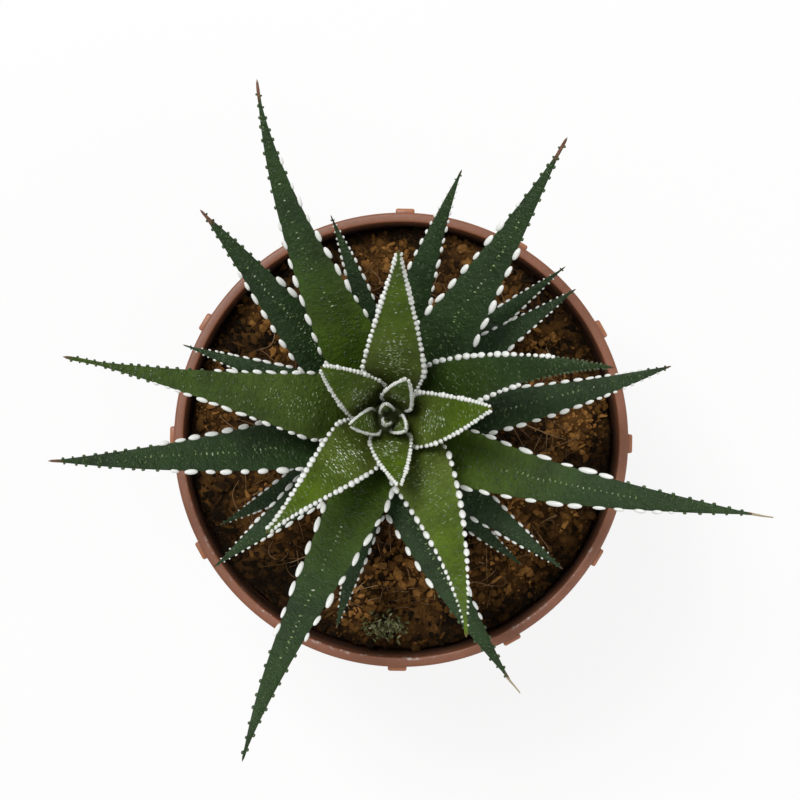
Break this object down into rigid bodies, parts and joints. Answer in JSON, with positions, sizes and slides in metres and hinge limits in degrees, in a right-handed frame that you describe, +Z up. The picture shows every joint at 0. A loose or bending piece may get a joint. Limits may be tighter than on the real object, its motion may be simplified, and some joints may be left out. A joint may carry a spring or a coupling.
{
  "type": "potted haworthia plant",
  "caption": "Zebra haworthia rosette of stiff pointed leaves with white-toothed edges, growing in compost in a round ribbed terracotta-coloured pot.",
  "frame": {"origin": "middle of the pot's flat base, on the surface that the pot stands on", "axes": "+Z up along the pot's axis, +Y and +X level; the rosette's axis is a little off the pot's, towards -X and +Y"},
  "size_m": [0.167, 0.1586, 0.179],
  "materials": {
    "pot_plastic": "satin, slightly dusty",
    "compost": "coarse fibrous potting mix of bark and coir",
    "stem_tissue": "matt plant tissue",
    "leaf_green": "waxy succulent leaf with raised white tubercles"
  },
  "bodies": {
    "root": {"pot": "pot_plastic", "soil": "compost", "stem": "stem_tissue", "leaf_01": "leaf_green", "leaf_02": "leaf_green", "leaf_03": "leaf_green", "leaf_04": "leaf_green", "leaf_05": "leaf_green", "leaf_06": "leaf_green", "leaf_07": "leaf_green", "leaf_08": "leaf_green", "leaf_09": "leaf_green", "leaf_10": "leaf_green", "leaf_11": "leaf_green", "leaf_12": "leaf_green", "leaf_13": "leaf_green", "leaf_14": "leaf_green", "leaf_15": "leaf_green", "leaf_16": "leaf_green", "leaf_17": "leaf_green", "leaf_18": "leaf_green", "leaf_19": "leaf_green", "leaf_20": "leaf_green", "leaf_21": "leaf_green", "leaf_22": "leaf_green", "leaf_23": "leaf_green", "leaf_24": "leaf_green", "leaf_25": "leaf_green", "leaf_26": "leaf_green", "leaf_27": "leaf_green", "leaf_28": "leaf_green", "leaf_29": "leaf_green", "leaf_30": "leaf_green", "leaf_31": "leaf_green"}
  },
  "joints": []
}
